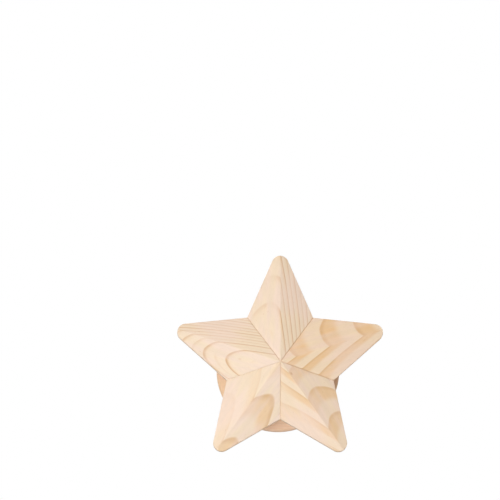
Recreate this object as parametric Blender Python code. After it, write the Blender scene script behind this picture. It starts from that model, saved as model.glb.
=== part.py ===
"""A wall step for a cat, whose front is a faceted star of solid pine.

Run it with: blender --background --python part.py

Metres, +Z up. The wall is the plane y = 0 and the step stands out of it towards -Y. Below,
"out" is a distance from the wall. The star, the hub behind it and the wall disc share one
axis, and the origin is where that axis meets the wall.

From the wall outwards: a turned wall disc with two keyhole plates let into its back, a tread
on two ribs, a turned hub, and the star. Screws tie the tread and the ribs to the disc and to
the hub, before the star is screwed on from behind the hub.
"""

from math import atan2, cos, pi, radians, sin, sqrt

import bmesh
import bpy
from mathutils import Matrix, Vector

# The star: five mitred rays, each a kite whose two facets fall from its ridge
RAY_NAMES = ("top", "upper_right", "lower_right", "lower_left", "upper_left")
STAR_REACH = 0.2106  # axis to the point where a ray's two edges would meet
STAR_NOTCH = 0.0982  # axis to the notch between two rays
STAR_EDGE = 0.016  # thickness along the outline
STAR_RISE = 0.030  # how far the apex stands out past the outline
TIP_ROUND = 0.015  # radius of a ray's tip, seen from the front
OUTLINE_EASE = 0.003  # how far the sanding rounds the outline's front edge
RIDGE_EASE = 0.0014  # the same on a ridge
SEAM_EASE = 0.0009  # the same on each side of a seam
BACK_EASE = 0.0010  # the same on the outline's back edge

# The step behind the star
STEP_DEPTH = 0.190  # wall to the star's apex
DISC_RADIUS = 0.109
DISC_THICKNESS = 0.018
DISC_EASE = 0.005  # rounding of the wall disc's front edge
HUB_SETBACK = 0.008  # how far the hub stays inside the star's notches
HUB_THICKNESS = 0.012
HUB_EASE = 0.0015
TREAD_TOP = 0.038  # height of the tread above the axis
TREAD_THICKNESS = 0.018
TREAD_WIDTH = 0.250
TREAD_CORNER = 0.012
TREAD_EASE = 0.0025
RIB_SPACING = 0.090  # between the middles of the two ribs
RIB_THICKNESS = 0.018
RIB_REAR_DROP = 0.070  # how far below the axis a rib reaches at the wall
RIB_FRONT_DROP = 0.030  # the same at the hub
RIB_FOOT = 0.014  # straight stretch under a rib, next to the wall
RIB_HOLLOW = 0.009  # how far the rest of its lower edge is curved in
RIB_EASE = 0.002

# Dowels, across the seams of the star and between the ribs and the tread
DOWEL_RADIUS = 0.004
DOWEL_LENGTH = 0.030
DOWEL_CHAMFER = 0.001
SEAM_DOWEL_INNER = 0.030  # axis to the inner dowel of a seam
SEAM_DOWEL_SETBACK = 0.014  # notch to its outer dowel
RIB_DOWEL_BITE = 0.012  # how deep a rib's dowels go into the tread
RIB_DOWEL_SETBACK = 0.032  # from the tread's front and rear edges

# Countersunk screws
CARCASS_SCREW = {"radius": 0.00225, "head": 0.0045, "length": 0.050}
STAR_SCREW = {"radius": 0.0020, "head": 0.0040, "length": 0.023}
PLATE_SCREW = {"radius": 0.0015, "head": 0.0029, "length": 0.012}
SCREW_RIM = 0.0004  # straight rim of a head
SCREW_SINK = 0.0006  # how far a head lies under the face it is driven into
SCREW_POINT = 0.0045  # length of the tapered end
SCREW_SETBACK = 0.015  # from the hub's edge to the screws nearest to it
PLATE_CLEAR = 0.0115  # from the keyhole plates to the middle of the screws beside them
RIB_WALL_SCREWS = {"upper": -0.010, "lower": -0.046}  # heights of the two at the wall
RIB_HUB_SCREW = -0.010  # height of the one at the hub
STAR_SCREW_SPREAD = radians(22)  # each side of a ray's ridge

# Keyhole plates, in the back of the wall disc
PLATE_SPACING = 0.100
PLATE_HEIGHT = 0.052  # of the plates' middles above the axis
PLATE_LENGTH = 0.046
PLATE_WIDTH = 0.018
PLATE_THICKNESS = 0.002
PLATE_SINK = 0.0004  # how far a plate lies under the disc's back
PLATE_SCREW_SETBACK = 0.005  # from a plate's ends
KEYHOLE_ENTRY = 0.0048  # radius of the round hole that a wall screw's head passes
KEYHOLE_SLOT = 0.0025  # radius of the slot above it
KEYHOLE_RUN = 0.012  # between the centres of the two
POCKET_DEPTH = 0.010  # of the room behind a plate for the wall screw's head
POCKET_MARGIN = 0.0012  # round that head

# Clearance and smoothness
GAP = 0.0003  # between pieces that seat on each other
OVERCUT = 0.002  # how far a cutter runs past the face it opens
ROUND_SIDES = 72
FASTENER_SIDES = 10
TIP_STEPS = 12  # even, so that one corner lies on the ridge
CORNER_STEPS = 6  # in a quarter turn
CURVE_STEPS = 12
EASE_STEPS = 3
WHOLE_WEIGHT = 0.010  # the rounding that a bevel weight of 1 stands for
SMOOTH_WITHIN = radians(35)  # faces that meet at less are shaded as one surface
FLAT_WITHIN = radians(0.1)  # faces that meet at less are made one
SAME_POINT = 1e-6

# Worked out from the sizes above
SECTOR = 2 * pi / len(RAY_NAMES)
HALF_SECTOR = SECTOR / 2
HALF_TIP = atan2(STAR_NOTCH * sin(HALF_SECTOR), STAR_REACH - STAR_NOTCH * cos(HALF_SECTOR))
EDGE_OFFSET = STAR_REACH * sin(HALF_TIP)  # axis to the line of a ray's edge
STAR_BACK = STEP_DEPTH - STAR_RISE - STAR_EDGE
HUB_RADIUS = STAR_NOTCH - HUB_SETBACK
HUB_FRONT = STAR_BACK - GAP
HUB_BACK = HUB_FRONT - HUB_THICKNESS
TREAD_FRONT = HUB_BACK - GAP
TREAD_REAR = DISC_THICKNESS + GAP
TREAD_BOTTOM = TREAD_TOP - TREAD_THICKNESS
TREAD_MIDDLE = TREAD_TOP - TREAD_THICKNESS / 2
RIB_TOP = TREAD_BOTTOM - GAP
PLATE_FRONT = PLATE_SINK + PLATE_THICKNESS

SIDES = {"left": -1, "right": 1}
ENDS = {"lower": -1, "upper": 1}
RIGHT = Vector((1, 0, 0))
UP = Vector((0, 0, 1))
OUT = Vector((0, -1, 0))
IN = -OUT


def at(out, x=0.0, z=0.0):
    """The point at a distance out from the wall, x to the right and z above the axis"""
    return Vector((x, -out, z))


def around(angle, radius, out=0.0):
    """The point at a radius from the axis, its angle taken clockwise from straight up"""
    return at(out, radius * sin(angle), radius * cos(angle))


def pointing(direction, point):
    """The place of a turned piece: its local Z in a direction, its origin at a point"""
    return Matrix.Translation(point) @ direction.to_track_quat("Z", "Y").to_matrix().to_4x4()


def facing(x_axis, y_axis, point):
    """The place of a flat piece, whose outline is drawn in the plane of two axes"""
    axes = Matrix((x_axis, y_axis, x_axis.cross(y_axis))).transposed()
    return Matrix.Translation(point) @ axes.to_4x4()


def make_material(name, colour, roughness, metallic=0.0):
    material = bpy.data.materials.new(name)
    material.use_nodes = True
    shader = material.node_tree.nodes["Principled BSDF"]
    shader.inputs["Base Color"].default_value = (*colour, 1)
    shader.inputs["Roughness"].default_value = roughness
    shader.inputs["Metallic"].default_value = metallic
    return material


def finish_mesh(name, bm, material=None):
    """A mesh with its faces turned out and its rounded edges shaded smooth"""
    bmesh.ops.recalc_face_normals(bm, faces=bm.faces)
    mesh = bpy.data.meshes.new(name)
    bm.to_mesh(mesh)
    bm.free()
    mesh.shade_smooth()
    mesh.set_sharp_from_angle(angle=SMOOTH_WITHIN)
    if material is not None:
        mesh.materials.append(material)
    return mesh


def place(name, mesh, matrix=None, parent=None):
    obj = bpy.data.objects.new(name, mesh)
    bpy.context.scene.collection.objects.link(obj)
    obj.parent = parent
    if matrix is not None:
        obj.matrix_basis = matrix
    return obj


def place_cutter(name, meshes_and_places):
    """One cutter made of several closed shapes that don't meet. It isn't part of the model."""
    bm = bmesh.new()
    for mesh, matrix in meshes_and_places:
        shape = mesh.copy()
        shape.transform(matrix)
        bm.from_mesh(shape)
        bpy.data.meshes.remove(shape)
    cutter = place(name, finish_mesh(name, bm))
    cutter.hide_render = True
    cutter.display_type = "WIRE"
    return cutter


def cut(obj, *cutters):
    for cutter in cutters:
        modifier = obj.modifiers.new(cutter.name, "BOOLEAN")
        modifier.operation = "DIFFERENCE"
        modifier.object = cutter


def ease(obj, width, limit="ANGLE"):
    """Rounds the sharp edges, or with the WEIGHT limit those that carry a bevel weight"""
    modifier = obj.modifiers.new("eased_edges", "BEVEL")
    modifier.width = width
    modifier.segments = EASE_STEPS
    modifier.limit_method = limit


def flatten_shading(pieces):
    """Lets large faces look flat beside their eased edges and holes"""
    for obj in pieces:
        obj.modifiers.new("flat_faces", "WEIGHTED_NORMAL").keep_sharp = True


def arc(centre, radius, start, end, steps):
    """Points on an arc, from one angle to the other"""
    angles = [start + (end - start) * i / steps for i in range(steps + 1)]
    return [(centre[0] + radius * cos(a), centre[1] + radius * sin(a)) for a in angles]


def turned(name, profile, sides, material=None):
    """A mesh turned about local Z. The profile's (radius, height) points start and end on Z."""
    bm = bmesh.new()
    corners = [bm.verts.new((radius, 0, height)) for radius, height in profile]
    edges = [bm.edges.new(pair) for pair in zip(corners, corners[1:])]
    bmesh.ops.spin(bm, geom=corners + edges, axis=UP, angle=2 * pi, steps=sides, use_merge=True)
    bmesh.ops.remove_doubles(bm, verts=bm.verts, dist=SAME_POINT)
    bmesh.ops.dissolve_limit(bm, angle_limit=FLAT_WITHIN, verts=bm.verts, edges=bm.edges)
    return finish_mesh(name, bm, material)


def extruded(name, outline, height, material=None):
    """A mesh whose outline, drawn in local X and Y, runs from 0 to a height along Z"""
    bm = bmesh.new()
    base = bm.faces.new([bm.verts.new((x, y, 0)) for x, y in outline])
    raised = bmesh.ops.extrude_face_region(bm, geom=[base])["geom"]
    corners = [item for item in raised if isinstance(item, bmesh.types.BMVert)]
    bmesh.ops.translate(bm, verts=corners, vec=(0, 0, height))
    return finish_mesh(name, bm, material)


def disc_profile(radius, thickness, front_ease):
    """A disc from height 0 to its thickness, its upper edge rounded"""
    rim = arc((radius - front_ease, thickness - front_ease), front_ease, 0, pi / 2, EASE_STEPS + 1)
    return [(0, 0), (radius, 0), *rim, (0, thickness)]


def dowel_profile(clearance=0.0):
    """A chamfered dowel about its middle or, with a clearance, its plain hole"""
    radius = DOWEL_RADIUS + clearance
    half = DOWEL_LENGTH / 2 + clearance
    if clearance:
        return [(0, -half), (radius, -half), (radius, half), (0, half)]
    shoulder = half - DOWEL_CHAMFER
    end = radius - DOWEL_CHAMFER
    return [(0, -half), (end, -half), (radius, -shoulder), (radius, shoulder), (end, half), (0, half)]


def screw_profile(size, clearance=0.0):
    """A countersunk screw, driven along local Z from the face at 0, or its drilled hole"""
    head = size["head"] + clearance
    shank = size["radius"] + clearance
    top = -OVERCUT if clearance else SCREW_SINK
    neck = SCREW_SINK + SCREW_RIM
    end = size["length"] + clearance
    point = shank if clearance else SCREW_POINT
    return [(0, top), (head, top), (head, neck), (shank, neck + head - shank), (shank, end - point), (0, end)]


def stadium(length, width):
    """An upright outline with round ends, about its middle"""
    radius = width / 2
    rise = length / 2 - radius
    upper = arc((0, rise), radius, 0, pi, 2 * CORNER_STEPS)
    lower = arc((0, -rise), radius, pi, 2 * pi, 2 * CORNER_STEPS)
    return upper + lower


def keyhole():
    """The hole in a plate: a round entry below and the slot above it"""
    shoulder = atan2(sqrt(KEYHOLE_ENTRY**2 - KEYHOLE_SLOT**2), KEYHOLE_SLOT)
    half_run = KEYHOLE_RUN / 2
    entry = arc((0, -half_run), KEYHOLE_ENTRY, pi - shoulder, 2 * pi + shoulder, 3 * CORNER_STEPS)
    slot = arc((0, half_run), KEYHOLE_SLOT, 0, pi, 2 * CORNER_STEPS)
    return entry + slot


def facet_rise(along, across):
    """How far a ray's facets stand out past its outline, at a point along and across its ridge"""
    distance = along * sin(HALF_TIP) + abs(across) * cos(HALF_TIP)
    return STAR_RISE * (1 - distance / EDGE_OFFSET)


def ray_outline():
    """A ray seen from the front: its end at the axis, a notch, the round tip, the other notch"""
    half_gap = GAP / 2
    inner = (half_gap / sin(HALF_SECTOR), 0)
    corner = HALF_SECTOR + HALF_TIP
    seam = (EDGE_OFFSET + half_gap * cos(corner)) / sin(corner)
    along = seam * cos(HALF_SECTOR) + half_gap * sin(HALF_SECTOR)
    across = seam * sin(HALF_SECTOR) - half_gap * cos(HALF_SECTOR)
    swing = pi / 2 - HALF_TIP
    tip = arc((STAR_REACH - TIP_ROUND / sin(HALF_TIP), 0), TIP_ROUND, swing, -swing, TIP_STEPS)
    return [inner, (along, across), *tip, (along, -across)]


def ray_mesh(material):
    """The top ray, its back in the plane y = 0, with bevel weights on the edges that are eased"""
    bm = bmesh.new()
    outline = ray_outline()
    back = [bm.verts.new(at(0, across, along)) for along, across in outline]
    front = [
        bm.verts.new(at(STAR_EDGE + facet_rise(along, across), across, along)) for along, across in outline
    ]
    ridge_end = 2 + TIP_STEPS // 2
    bm.faces.new(back)
    bm.faces.new(front[: ridge_end + 1])
    bm.faces.new([front[0], *front[ridge_end:]])
    weight = bm.edges.layers.float.new("bevel_weight_edge")
    count = len(outline)
    for i in range(count):
        following = (i + 1) % count
        bm.faces.new([back[i], back[following], front[following], front[i]])
        is_seam = i in (0, count - 1)
        front_edge = bm.edges.get([front[i], front[following]])
        front_edge[weight] = (SEAM_EASE if is_seam else OUTLINE_EASE) / WHOLE_WEIGHT
        if not is_seam:
            bm.edges.get([back[i], back[following]])[weight] = BACK_EASE / WHOLE_WEIGHT
    bm.edges.get([front[0], front[ridge_end]])[weight] = RIDGE_EASE / WHOLE_WEIGHT
    return finish_mesh("star_ray", bm, material)


def make_rays(parent, material):
    """The five rays of the star, one board turned round the axis"""
    mesh = ray_mesh(material)
    rays = []
    for i, name in enumerate(RAY_NAMES):
        rays.append(place("star_ray_" + name, mesh, Matrix.Rotation(i * SECTOR, 4, "Y"), parent))
        ease(rays[-1], WHOLE_WEIGHT, "WEIGHT")
    return rays


def make_seam_dowels(rays, material):
    """Two dowels across each seam, half way through the outline's thickness"""
    mesh = turned("seam_dowel", dowel_profile(), FASTENER_SIDES, material)
    hole = turned("seam_dowel_hole", dowel_profile(GAP), FASTENER_SIDES)
    radii = {"inner": SEAM_DOWEL_INNER, "outer": STAR_NOTCH - SEAM_DOWEL_SETBACK}
    holes = []
    for i, name in enumerate(RAY_NAMES):
        angle = i * SECTOR + HALF_SECTOR
        across_seam = around(angle + pi / 2, 1)
        for place_name, radius in radii.items():
            matrix = pointing(across_seam, around(angle, radius, STAR_BACK + STAR_EDGE / 2))
            place(f"seam_dowel_{name}_{place_name}", mesh, matrix)
            holes.append((hole, matrix))
    drillings = place_cutter("seam_dowel_holes", holes)
    for ray in rays:
        cut(ray, drillings)


def make_screws(size, kind, places, joined, material):
    """Screws of one size at the named places, with their holes in the pieces they join"""
    mesh = turned(kind, screw_profile(size), FASTENER_SIDES, material)
    hole = turned(kind + "_hole", screw_profile(size, GAP), FASTENER_SIDES)
    for name, matrix in places.items():
        place(f"{kind}_{name}", mesh, matrix)
    drillings = place_cutter(kind + "_holes", [(hole, matrix) for matrix in places.values()])
    for piece in joined:
        cut(piece, drillings)


def make_wall_disc(material):
    profile = disc_profile(DISC_RADIUS, DISC_THICKNESS, DISC_EASE)
    return place("wall_disc", turned("wall_disc", profile, ROUND_SIDES, material), pointing(OUT, at(0)))


def make_hub(material):
    """The round board behind the star, its eased edge towards the wall"""
    profile = disc_profile(HUB_RADIUS, HUB_THICKNESS, HUB_EASE)
    return place("hub", turned("hub", profile, ROUND_SIDES, material), pointing(IN, at(HUB_FRONT)))


def make_tread(material):
    """The board to stand on, with round corners, its edges eased all round"""
    half_width = TREAD_WIDTH / 2 - TREAD_CORNER
    half_depth = (TREAD_FRONT - TREAD_REAR) / 2 - TREAD_CORNER
    outline = []
    for quarter, (x, y) in enumerate(((1, 1), (-1, 1), (-1, -1), (1, -1))):
        start = quarter * pi / 2
        centre = (x * half_width, y * half_depth)
        outline += arc(centre, TREAD_CORNER, start, start + pi / 2, CORNER_STEPS)
    mesh = extruded("tread", outline, TREAD_THICKNESS, material)
    tread = place("tread", mesh, Matrix.Translation(at((TREAD_REAR + TREAD_FRONT) / 2, z=TREAD_BOTTOM)))
    ease(tread, TREAD_EASE)
    return tread


def rib_outline():
    """A rib seen from its side, as (height, out) corners: its lower edge curves up to the hub"""
    start = Vector((-RIB_REAR_DROP, TREAD_REAR + RIB_FOOT))
    end = Vector((-RIB_FRONT_DROP, TREAD_FRONT))
    inwards = Vector((end - start).yx).normalized()
    inwards.y = -inwards.y
    curve = []
    for i in range(CURVE_STEPS + 1):
        t = i / CURVE_STEPS
        curve.append(start.lerp(end, t) + inwards * RIB_HOLLOW * 4 * t * (1 - t))
    return [(RIB_TOP, TREAD_REAR), (-RIB_REAR_DROP, TREAD_REAR), *curve, (RIB_TOP, TREAD_FRONT)]


def make_ribs(material):
    """Two ribs on edge under the tread"""
    mesh = extruded("rib", rib_outline(), RIB_THICKNESS, material)
    ribs = []
    for name, side in SIDES.items():
        corner = at(0, side * RIB_SPACING / 2 - RIB_THICKNESS / 2)
        ribs.append(place("rib_" + name, mesh, facing(UP, OUT, corner)))
        ease(ribs[-1], RIB_EASE)
    return ribs


def make_rib_dowels(tread, ribs, material):
    """Two dowels from each rib up into the tread"""
    mesh = turned("rib_dowel", dowel_profile(), FASTENER_SIDES, material)
    hole = turned("rib_dowel_hole", dowel_profile(GAP), FASTENER_SIDES)
    height = TREAD_BOTTOM + RIB_DOWEL_BITE - DOWEL_LENGTH / 2
    outs = {"rear": TREAD_REAR + RIB_DOWEL_SETBACK, "front": TREAD_FRONT - RIB_DOWEL_SETBACK}
    holes = []
    for side_name, side in SIDES.items():
        for end_name, out in outs.items():
            matrix = pointing(UP, at(out, side * RIB_SPACING / 2, height))
            place(f"rib_dowel_{side_name}_{end_name}", mesh, matrix)
            holes.append((hole, matrix))
    drillings = place_cutter("rib_dowel_holes", holes)
    for piece in (tread, *ribs):
        cut(piece, drillings)


def make_carcass_screws(wall_disc, hub, tread, ribs, material):
    """The long screws: out of the wall disc, and in from the hub, to the tread and the ribs"""
    hub_reach = sqrt(HUB_RADIUS**2 - TREAD_MIDDLE**2) - SCREW_SETBACK
    wall_reach = (PLATE_SPACING + PLATE_WIDTH) / 2 + PLATE_CLEAR
    places = {}
    for name, side in {"left": -1, "middle": 0, "right": 1}.items():
        places["tread_wall_" + name] = pointing(OUT, at(0, side * wall_reach, TREAD_MIDDLE))
        places["tread_hub_" + name] = pointing(IN, at(HUB_FRONT, side * hub_reach, TREAD_MIDDLE))
    for name, side in SIDES.items():
        x = side * RIB_SPACING / 2
        places["rib_hub_" + name] = pointing(IN, at(HUB_FRONT, x, RIB_HUB_SCREW))
        for height_name, height in RIB_WALL_SCREWS.items():
            places[f"rib_wall_{name}_{height_name}"] = pointing(OUT, at(0, x, height))
    make_screws(CARCASS_SCREW, "carcass_screw", places, (wall_disc, hub, tread, *ribs), material)


def make_star_screws(hub, rays, material):
    """Two short screws from the hub into the back of each ray"""
    places = {}
    for i, name in enumerate(RAY_NAMES):
        for side_name, side in SIDES.items():
            angle = i * SECTOR + side * STAR_SCREW_SPREAD
            point = around(angle, HUB_RADIUS - SCREW_SETBACK, HUB_BACK)
            places[f"{name}_{side_name}"] = pointing(OUT, point)
    make_screws(STAR_SCREW, "star_screw", places, (hub, *rays), material)


def make_keyhole_plates(wall_disc, material):
    """Two steel plates let into the wall disc's back, with a pocket behind each keyhole"""
    mesh = extruded("keyhole_plate", stadium(PLATE_LENGTH, PLATE_WIDTH), PLATE_THICKNESS, material)
    opening = extruded("keyhole", keyhole(), OVERCUT + PLATE_FRONT + OVERCUT)
    recess_outline = stadium(PLATE_LENGTH + 2 * GAP, PLATE_WIDTH + 2 * GAP)
    recess = extruded("recess", recess_outline, OVERCUT + PLATE_FRONT + GAP)
    pocket_width = 2 * (KEYHOLE_ENTRY + POCKET_MARGIN)
    pocket = extruded("pocket", stadium(KEYHOLE_RUN + pocket_width, pocket_width), OVERCUT + POCKET_DEPTH)
    plates, openings, recesses, pockets, screws = [], [], [], [], {}
    for name, side in SIDES.items():
        x = side * PLATE_SPACING / 2
        seat = facing(RIGHT, UP, at(PLATE_SINK, x, PLATE_HEIGHT))
        behind = facing(RIGHT, UP, at(-OVERCUT, x, PLATE_HEIGHT))
        plates.append(place("keyhole_plate_" + name, mesh, seat))
        openings.append((opening, behind))
        recesses.append((recess, behind))
        pockets.append((pocket, behind))
        for end_name, end in ENDS.items():
            height = PLATE_HEIGHT + end * (PLATE_LENGTH / 2 - PLATE_SCREW_SETBACK)
            screws[f"{name}_{end_name}"] = pointing(OUT, at(PLATE_SINK, x, height))
    keyholes = place_cutter("keyholes", openings)
    for plate in plates:
        cut(plate, keyholes)
    cut(wall_disc, place_cutter("plate_recesses", recesses), place_cutter("head_pockets", pockets))
    make_screws(PLATE_SCREW, "plate_screw", screws, (wall_disc, *plates), material)
    return plates


def main():
    for obj in list(bpy.data.objects):
        bpy.data.objects.remove(obj)
    pine = make_material("pine", (0.86, 0.68, 0.47), 0.55)
    beech = make_material("beech", (0.68, 0.42, 0.24), 0.5)
    zinc = make_material("zinc", (0.62, 0.62, 0.60), 0.35, 1.0)

    wall_disc = make_wall_disc(pine)
    hub = make_hub(pine)
    tread = make_tread(pine)
    ribs = make_ribs(pine)
    star = place("star", None, Matrix.Translation(at(STAR_BACK)))
    rays = make_rays(star, pine)

    make_seam_dowels(rays, beech)
    make_rib_dowels(tread, ribs, beech)
    make_carcass_screws(wall_disc, hub, tread, ribs, zinc)
    make_star_screws(hub, rays, zinc)
    plates = make_keyhole_plates(wall_disc, zinc)
    flatten_shading((wall_disc, hub, tread, *ribs, *rays, *plates))


main()
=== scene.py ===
# %% [markdown]
# # A cat wall step with a pine star
#
# The step hangs on a wall. Its front is a star of five thick pine boards, mitred to each other
# and planed to a ridge. Behind the star are a round hub, a tread on two ribs, and a round disc
# that hangs on the wall by two keyhole plates.
#
# The measured shape is already made, as a frame of solids in metres, with +Z up, the wall at
# y = 0 and the star facing -Y. This script gives that frame its finish: grain that follows each
# board, fluted dowels, threaded screws and zinc-plated steel.

# %% Load the fixed frame
from math import atan2, cos, pi, radians, sin

import bmesh
import bpy
from mathutils import Color, Matrix, Vector


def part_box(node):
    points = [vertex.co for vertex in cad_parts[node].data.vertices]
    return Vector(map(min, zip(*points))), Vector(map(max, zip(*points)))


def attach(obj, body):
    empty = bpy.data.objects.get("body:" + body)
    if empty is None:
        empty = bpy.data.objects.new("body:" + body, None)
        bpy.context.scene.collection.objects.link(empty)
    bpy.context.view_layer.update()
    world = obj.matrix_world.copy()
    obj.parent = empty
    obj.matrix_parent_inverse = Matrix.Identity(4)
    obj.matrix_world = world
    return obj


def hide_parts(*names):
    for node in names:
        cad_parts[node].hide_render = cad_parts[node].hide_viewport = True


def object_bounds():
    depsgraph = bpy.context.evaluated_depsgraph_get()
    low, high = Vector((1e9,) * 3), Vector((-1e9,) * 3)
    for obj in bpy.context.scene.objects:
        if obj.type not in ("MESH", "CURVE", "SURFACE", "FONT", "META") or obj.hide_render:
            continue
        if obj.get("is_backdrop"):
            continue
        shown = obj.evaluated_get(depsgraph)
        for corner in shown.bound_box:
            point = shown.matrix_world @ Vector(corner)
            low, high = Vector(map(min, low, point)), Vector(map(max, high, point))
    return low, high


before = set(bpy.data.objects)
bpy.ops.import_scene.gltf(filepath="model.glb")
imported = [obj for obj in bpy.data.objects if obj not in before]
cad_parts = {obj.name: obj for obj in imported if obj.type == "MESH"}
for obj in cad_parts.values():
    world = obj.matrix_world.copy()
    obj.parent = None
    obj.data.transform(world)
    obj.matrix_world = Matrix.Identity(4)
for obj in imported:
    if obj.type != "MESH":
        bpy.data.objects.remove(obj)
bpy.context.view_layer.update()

MM = 0.001

# %% [markdown]
# ## The camera
#
# The photograph was taken from far away with a long lens, a little below the step and a little
# to its left. Two facts fix such a camera: the direction in which it looks at one known point,
# and the pixel at which that point lies. The lens could be shifted to put the star off centre,
# but a turned camera does the same and stays an ordinary camera in every other view.

# %% Place the camera
PHOTO_SIDE = 500  # pixels
STAR_PIXEL = (280.2, 362.85)  # where the middle of the star's outline lies in the photograph
STAR_EDGE = 16 * MM  # thickness of the boards along the outline
VIEW_DISTANCE = 8.79
FROM_THE_LEFT = 0.0267  # sideways part of the line of sight, for each metre of depth
FROM_BELOW = 0.092  # the same, upwards
LENS = 362.0  # millimetres, on a sensor of 36
SENSOR = 36.0
FARTHEST_SEEN = 100.0  # well past the floor's corners
scene = bpy.context.scene


def new_object(name, data, placing=None):
    """An object in the scene, with its place if that isn't the origin"""
    made = bpy.data.objects.new(name, data)
    scene.collection.objects.link(made)
    if placing is not None:
        made.matrix_world = placing
    return made


star_centre = Vector((0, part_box("star_ray_top")[1].y - STAR_EDGE, 0))
sight = Vector((FROM_THE_LEFT, 1, FROM_BELOW)).normalized()
pixel_size = SENSOR / PHOTO_SIDE
across, down = [(pixel - PHOTO_SIDE / 2) * pixel_size for pixel in STAR_PIXEL]
in_view = Vector((across, -down, -LENS))
camera = new_object("camera", bpy.data.cameras.new("camera"))
camera.data.lens = LENS
camera.data.sensor_width = SENSOR
camera.data.clip_end = FARTHEST_SEEN
camera.location = star_centre - sight * VIEW_DISTANCE
camera.rotation_mode = "QUATERNION"
ahead = sight.to_track_quat("-Z", "Y")
camera.rotation_quaternion = ahead @ in_view.rotation_difference(Vector((0, 0, -1)))
scene.camera = camera
print("camera at", [round(v, 2) for v in camera.location])

# %% [markdown]
# ## Floor, backdrop and light
#
# The photograph is a cut-out on white. A wall would hide the back of the step, so there is only a
# floor, about a metre below it. The camera sees the floor a little brighter than it is, and from
# underneath it is clear, so that it never hides the step.
#
# Half of the light is the room's. It is a little warm, comes from the front and the left, and
# fades out towards the right and the back. The world is that light, and plain white to the camera
# and in reflections. The other half is one soft lamp in front of the step, a little to the left
# and below. It makes the facets differ and lays the star's shadow on the right side of the disc.
# Three soft lamps behind the wall's plane light the sides, the top and the back, and miss all
# that the photograph shows.
#
# Materials and light are both nets of nodes, so a few helpers that make and join nodes come first.

# %% Write helpers for nodes
FIRST_COLOUR, SECOND_COLOUR, MIXED_COLOUR = 6, 7, 2  # the Mix node's sockets for colours


def fill(tree, made, inputs):
    """Gives a node its inputs. Each is a plain value or another node's output."""
    for name, value in inputs.items():
        if isinstance(value, bpy.types.NodeSocket):
            tree.links.new(value, made.inputs[name])
        else:
            made.inputs[name].default_value = value


def node(tree, kind, inputs=None, **settings):
    """A new node"""
    made = tree.nodes.new(kind)
    for name, value in settings.items():
        setattr(made, name, value)
    fill(tree, made, inputs or {})
    return made


def maths(tree, operation, *values):
    """The result of a Math node"""
    return node(tree, "ShaderNodeMath", dict(enumerate(values)), operation=operation).outputs[0]


def vectors(tree, operation, *values):
    """The result of a Vector Math node. Its SCALE takes a vector and a number."""
    inputs = {0: values[0], "Scale": values[1]} if operation == "SCALE" else dict(enumerate(values))
    output = "Value" if operation in ("LENGTH", "DOT_PRODUCT") else "Vector"
    return node(tree, "ShaderNodeVectorMath", inputs, operation=operation).outputs[output]


def blend(tree, share, first, second):
    """A mix of two colours"""
    inputs = {"Factor": share, FIRST_COLOUR: first, SECOND_COLOUR: second}
    return node(tree, "ShaderNodeMix", inputs, data_type="RGBA", clamp_factor=True).outputs[MIXED_COLOUR]


def new_material(name):
    """A material, its tree of nodes and its shader"""
    material = bpy.data.materials.new(name)
    material.use_nodes = True
    return material, material.node_tree, material.node_tree.nodes["Principled BSDF"]


# %% Build the floor
FLOOR_DROP = 1.05  # from the step's axis to the floor
FLOOR_HALF = 14.0
FLOOR_COLOUR = (0.62, 0.61, 0.60, 1)
FLOOR_ROUGHNESS = 0.9
FLOOR_GLOW = 0.36  # what the camera sees on top of the floor's own colour
WHITE = (1, 1, 1, 1)
QUARTERS = ((1, 1), (-1, 1), (-1, -1), (1, -1))  # on which sides of the middle each corner lies

bm = bmesh.new()
bm.faces.new([bm.verts.new((x * FLOOR_HALF, y * FLOOR_HALF, -FLOOR_DROP)) for x, y in QUARTERS])
floor_mesh = bpy.data.meshes.new("floor")
bm.to_mesh(floor_mesh)
bm.free()
floor = new_object("floor", floor_mesh)
floor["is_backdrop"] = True

floor_paint, tree, shader = new_material("floor_paint")
floor_mesh.materials.append(floor_paint)
fill(tree, shader, {"Base Color": FLOOR_COLOUR, "Roughness": FLOOR_ROUGHNESS, "Emission Color": WHITE})
seen = node(tree, "ShaderNodeLightPath").outputs["Is Camera Ray"]
fill(tree, shader, {"Emission Strength": maths(tree, "MULTIPLY", seen, FLOOR_GLOW)})
underside = node(tree, "ShaderNodeNewGeometry").outputs["Backfacing"]
clear = node(tree, "ShaderNodeBsdfTransparent").outputs["BSDF"]
either = node(tree, "ShaderNodeMixShader", {0: underside, 1: shader.outputs["BSDF"], 2: clear})
fill(tree, tree.nodes["Material Output"], {"Surface": either.outputs[0]})
print("floor", 2 * FLOOR_HALF, "m wide")

# %% Light the room
BRIGHT_SIDE = Vector((-0.50, -0.80, 0.30)).normalized()
BRIGHT = (0.84, 0.74, 0.67, 1)  # the room's light from that side
SHADY = (0.06, 0.04, 0.03, 1)  # and from the other
ROOM_EDGE = -0.35  # how far round the bright side reaches, as the cosine of an angle

world = bpy.data.worlds.new("studio")
world.use_nodes = True
scene.world = world
scene.view_settings.view_transform = "Standard"
tree = world.node_tree
direction = node(tree, "ShaderNodeTexCoord").outputs["Generated"]
towards_light = vectors(tree, "DOT_PRODUCT", direction, BRIGHT_SIDE)
share = node(tree, "ShaderNodeMapRange", {"Value": towards_light, "From Min": ROOM_EDGE})
room = blend(tree, share.outputs["Result"], SHADY, BRIGHT)
path = node(tree, "ShaderNodeLightPath").outputs
seen = maths(tree, "MAXIMUM", path["Is Camera Ray"], path["Is Glossy Ray"])
seen = maths(tree, "MAXIMUM", seen, path["Is Transmission Ray"])
fill(tree, tree.nodes["Background"], {"Color": blend(tree, seen, room, WHITE), "Strength": 1.0})

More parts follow.
